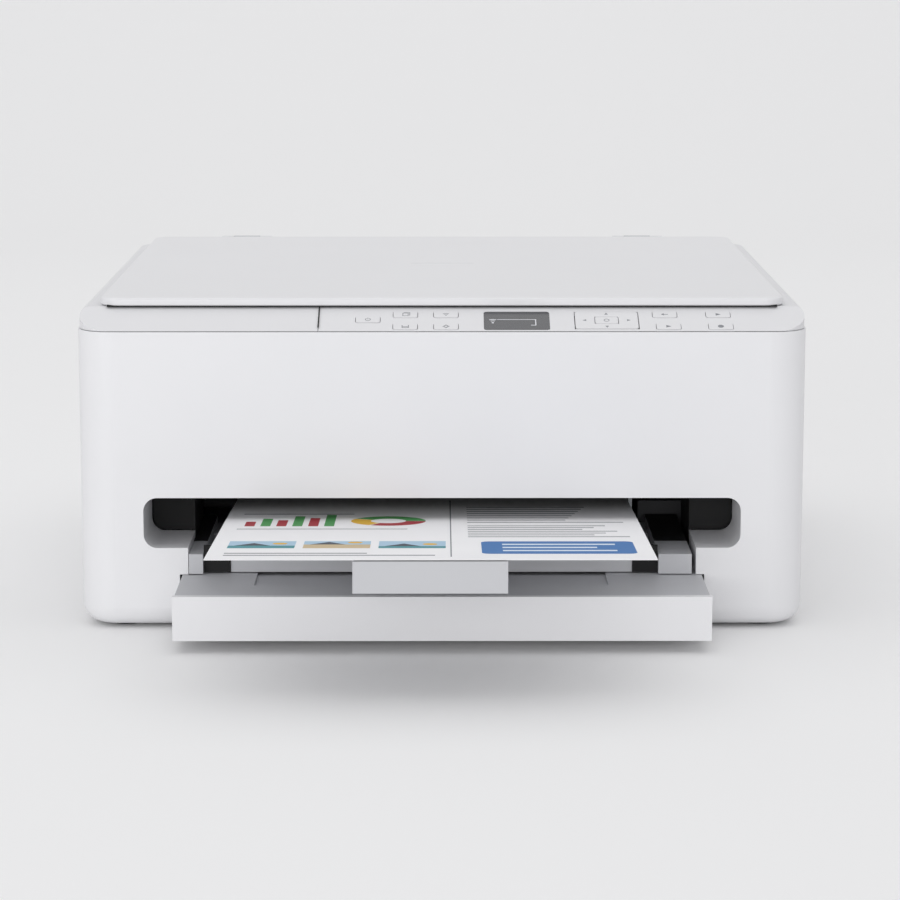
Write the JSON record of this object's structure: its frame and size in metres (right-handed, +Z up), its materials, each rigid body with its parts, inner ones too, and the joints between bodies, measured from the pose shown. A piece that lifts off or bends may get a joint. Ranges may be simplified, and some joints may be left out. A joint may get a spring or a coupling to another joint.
{
  "type": "multifunction printer",
  "caption": "Compact white inkjet printer with flatbed scanner lid, sloping key band, stepped front opening, pull-out cassette and an A4 sheet on its extended output tray.",
  "frame": {"origin": "on the table, under the middle of the whole machine with its tray extended", "axes": "+X to the machine's right seen from the front, +Y to its rear, +Z up"},
  "size_m": [0.372, 0.5004, 0.1687],
  "materials": {
    "white_shell": "moulded satin",
    "light_grey": "moulded",
    "black_plastic": "moulded",
    "dark_grey": "moulded",
    "steel": "galvanised",
    "rubber": "ground",
    "glass": "polished",
    "screen": "polished",
    "paper": "printed sheet",
    "board": "solder mask",
    "foam": "smooth foam",
    "acetal": "moulded"
  },
  "bodies": {
    "housing": {"main_cover": "white_shell", "base_pan": "dark_grey", "rear_panel": "white_shell", "opening_liner": "black_plastic", "output_tray": "light_grey", "engine_frame": "steel", "carriage_rail": "steel", "platen": "black_plastic", "pinch_holder": "black_plastic", "star_wheel_holder": "black_plastic", "turn_guide": "dark_grey", "maintenance_unit": "dark_grey", "carriage_motor": "steel", "timing_belt": "rubber", "power_supply": "black_plastic", "mains_inlet": "black_plastic", "main_board": "board", "feet": "rubber"},
    "feed": {"feed_roller": "steel"},
    "idler": {"idler_gear": "acetal"},
    "eject": {"eject_roller": "rubber"},
    "stars": {"star_wheels": "steel"},
    "carriage": {"carriage": "dark_grey", "cartridge_black": "black_plastic", "cartridge_colour": "dark_grey"},
    "belt_idler": {"idler_pulley": "acetal"},
    "turn": {"turn_roller": "rubber"},
    "pickup_arm": {"pickup_arm": "dark_grey"},
    "pickup_roller": {"pickup_roller": "rubber"},
    "cassette": {"cassette_base": "dark_grey"},
    "cassette_front": {"cassette_front": "white_shell", "cassette_cover": "light_grey"},
    "guide_left": {"guide_left": "light_grey"},
    "guide_right": {"guide_right": "light_grey"},
    "length_guide": {"length_guide": "light_grey"},
    "tongue_1": {"tongue_1": "light_grey"},
    "tongue_2": {"tongue_2": "light_grey"},
    "sheet": {"printed_sheet": "paper"},
    "rear_cover": {"rear_cover": "white_shell"},
    "scanner": {"scan_base": "dark_grey", "scan_frame": "white_shell", "control_panel": "white_shell", "scan_glass": "glass", "display": "screen"},
    "cis": {"cis_unit": "black_plastic"},
    "lid_hinges": {"lid_hinges": "light_grey"},
    "lid": {"document_lid": "white_shell", "lid_pad": "foam"},
    "nav_pivot": {"nav_pivot": "acetal"},
    "nav_pad": {"nav_pad": "white_shell"},
    "ok_key": {"ok_key": "white_shell"},
    "power_key": {"power_key": "white_shell"},
    "copy_key": {"copy_key": "white_shell"},
    "scan_key": {"scan_key": "white_shell"},
    "wifi_key": {"wifi_key": "white_shell"},
    "setup_key": {"setup_key": "white_shell"},
    "back_key": {"back_key": "white_shell"},
    "start_mono_key": {"start_mono_key": "white_shell"},
    "start_colour_key": {"start_colour_key": "white_shell"},
    "stop_key": {"stop_key": "white_shell"}
  },
  "joints": [
    {"name": "feed_spin", "type": "hinge", "parent": "housing", "child": "feed", "pos_m": [0, 0.07, 0.03961], "axis": [1, 0, 0], "continuous": true},
    {"name": "idler_spin", "type": "hinge", "parent": "housing", "child": "idler", "pos_m": [-0.155, 0.044, 0.0419], "axis": [1, 0, 0], "continuous": true},
    {"name": "eject_spin", "type": "hinge", "parent": "housing", "child": "eject", "pos_m": [0, 0.02, 0.04402], "axis": [1, 0, 0], "continuous": true},
    {"name": "star_spin", "type": "hinge", "parent": "housing", "child": "stars", "pos_m": [0, 0.02, 0.05387], "axis": [1, 0, 0], "continuous": true},
    {"name": "carriage_slide", "type": "slide", "parent": "housing", "child": "carriage", "axis": [1, 0, 0], "range_m": [-0.232, 0]},
    {"name": "belt_idler_spin", "type": "hinge", "parent": "housing", "child": "belt_idler", "pos_m": [-0.136, 0.114, 0.095], "axis": [0, 0, 1], "continuous": true},
    {"name": "turn_spin", "type": "hinge", "parent": "housing", "child": "turn", "pos_m": [0, 0.2, 0.045], "axis": [1, 0, 0], "continuous": true},
    {"name": "pickup_arm_swing", "type": "hinge", "parent": "housing", "child": "pickup_arm", "pos_m": [0, 0.09, 0.036], "axis": [-1, 0, 0], "range_deg": [0, 24], "stiffness_Nm_per_rad": 0.05, "springref_deg": -22.92},
    {"name": "pickup_spin", "type": "hinge", "parent": "pickup_arm", "child": "pickup_roller", "pos_m": [0, 0.128, 0.036], "axis": [1, 0, 0], "continuous": true},
    {"name": "cassette_slide", "type": "slide", "parent": "housing", "child": "cassette", "axis": [0, -1, 0], "range_m": [0, 0.27]},
    {"name": "cassette_extend", "type": "slide", "parent": "cassette", "child": "cassette_front", "axis": [0, 1, 0], "range_m": [0, 0.052]},
    {"name": "guide_left_slide", "type": "slide", "parent": "cassette", "child": "guide_left", "axis": [1, 0, 0], "range_m": [0, 0.05]},
    {"name": "guide_right_slide", "type": "slide", "parent": "cassette", "child": "guide_right", "axis": [-1, 0, 0], "range_m": [0, 0.05]},
    {"name": "length_guide_slide", "type": "slide", "parent": "cassette_front", "child": "length_guide", "axis": [0, 1, 0], "range_m": [0, 0.04]},
    {"name": "tongue_1_slide", "type": "slide", "parent": "housing", "child": "tongue_1", "axis": [0, 0.9977, -0.068], "range_m": [0, 0.075]},
    {"name": "tongue_2_slide", "type": "slide", "parent": "tongue_1", "child": "tongue_2", "axis": [0, 0.9977, -0.068], "range_m": [0, 0.075]},
    {"name": "sheet_feed", "type": "slide", "parent": "housing", "child": "sheet", "axis": [0, 0.9977, -0.068], "range_m": [-0.03, 0.015]},
    {"name": "rear_cover_pull", "type": "slide", "parent": "housing", "child": "rear_cover", "axis": [0, 1, 0], "range_m": [0, 0.04]},
    {"name": "scanner_hinge", "type": "hinge", "parent": "housing", "child": "scanner", "pos_m": [0, 0.2455, 0.15415], "axis": [-1, 0, 0], "range_deg": [0, 40]},
    {"name": "cis_slide", "type": "slide", "parent": "scanner", "child": "cis", "axis": [1, 0, 0], "range_m": [0, 0.28]},
    {"name": "lid_lift", "type": "slide", "parent": "scanner", "child": "lid_hinges", "axis": [0, 0, 1], "range_m": [0, 0.008]},
    {"name": "lid_hinge", "type": "hinge", "parent": "lid_hinges", "child": "lid", "pos_m": [0, 0.2435, 0.1665], "axis": [-1, 0, 0], "range_deg": [0, 85]},
    {"name": "nav_tilt", "type": "hinge", "parent": "scanner", "child": "nav_pivot", "pos_m": [0.0838, -0.08637, 0.15502], "axis": [1, 0, 0], "range_deg": [-2, 2], "stiffness_Nm_per_rad": 0.05},
    {"name": "nav_rock", "type": "hinge", "parent": "nav_pivot", "child": "nav_pad", "pos_m": [0.0838, -0.08673, 0.15595], "axis": [0, 0.9359, 0.3523], "range_deg": [-1.2, 1.2], "stiffness_Nm_per_rad": 0.05},
    {"name": "ok_press", "type": "slide", "parent": "scanner", "child": "ok_key", "axis": [0, 0.3523, -0.9359], "range_m": [0, 0.0006], "stiffness_N_per_m": 500},
    {"name": "power_press", "type": "slide", "parent": "scanner", "child": "power_key", "axis": [0, 0.3523, -0.9359], "range_m": [0, 0.0006], "stiffness_N_per_m": 500},
    {"name": "copy_press", "type": "slide", "parent": "scanner", "child": "copy_key", "axis": [0, 0.3523, -0.9359], "range_m": [0, 0.0006], "stiffness_N_per_m": 500},
    {"name": "scan_press", "type": "slide", "parent": "scanner", "child": "scan_key", "axis": [0, 0.3523, -0.9359], "range_m": [0, 0.0006], "stiffness_N_per_m": 500},
    {"name": "wifi_press", "type": "slide", "parent": "scanner", "child": "wifi_key", "axis": [0, 0.3523, -0.9359], "range_m": [0, 0.0006], "stiffness_N_per_m": 500},
    {"name": "setup_press", "type": "slide", "parent": "scanner", "child": "setup_key", "axis": [0, 0.3523, -0.9359], "range_m": [0, 0.0006], "stiffness_N_per_m": 500},
    {"name": "back_press", "type": "slide", "parent": "scanner", "child": "back_key", "axis": [0, 0.3523, -0.9359], "range_m": [0, 0.0006], "stiffness_N_per_m": 500},
    {"name": "start_mono_press", "type": "slide", "parent": "scanner", "child": "start_mono_key", "axis": [0, 0.3523, -0.9359], "range_m": [0, 0.0006], "stiffness_N_per_m": 500},
    {"name": "start_colour_press", "type": "slide", "parent": "scanner", "child": "start_colour_key", "axis": [0, 0.3523, -0.9359], "range_m": [0, 0.0006], "stiffness_N_per_m": 500},
    {"name": "stop_press", "type": "slide", "parent": "scanner", "child": "stop_key", "axis": [0, 0.3523, -0.9359], "range_m": [0, 0.0006], "stiffness_N_per_m": 500}
  ],
  "couplings": [
    {"joint": "idler_spin", "follows": "feed_spin", "ratio": -2.25},
    {"joint": "eject_spin", "follows": "feed_spin", "ratio": 1.125},
    {"joint": "star_spin", "follows": "feed_spin", "ratio": -1.4062},
    {"joint": "guide_right_slide", "follows": "guide_left_slide", "ratio": 1}
  ]
}
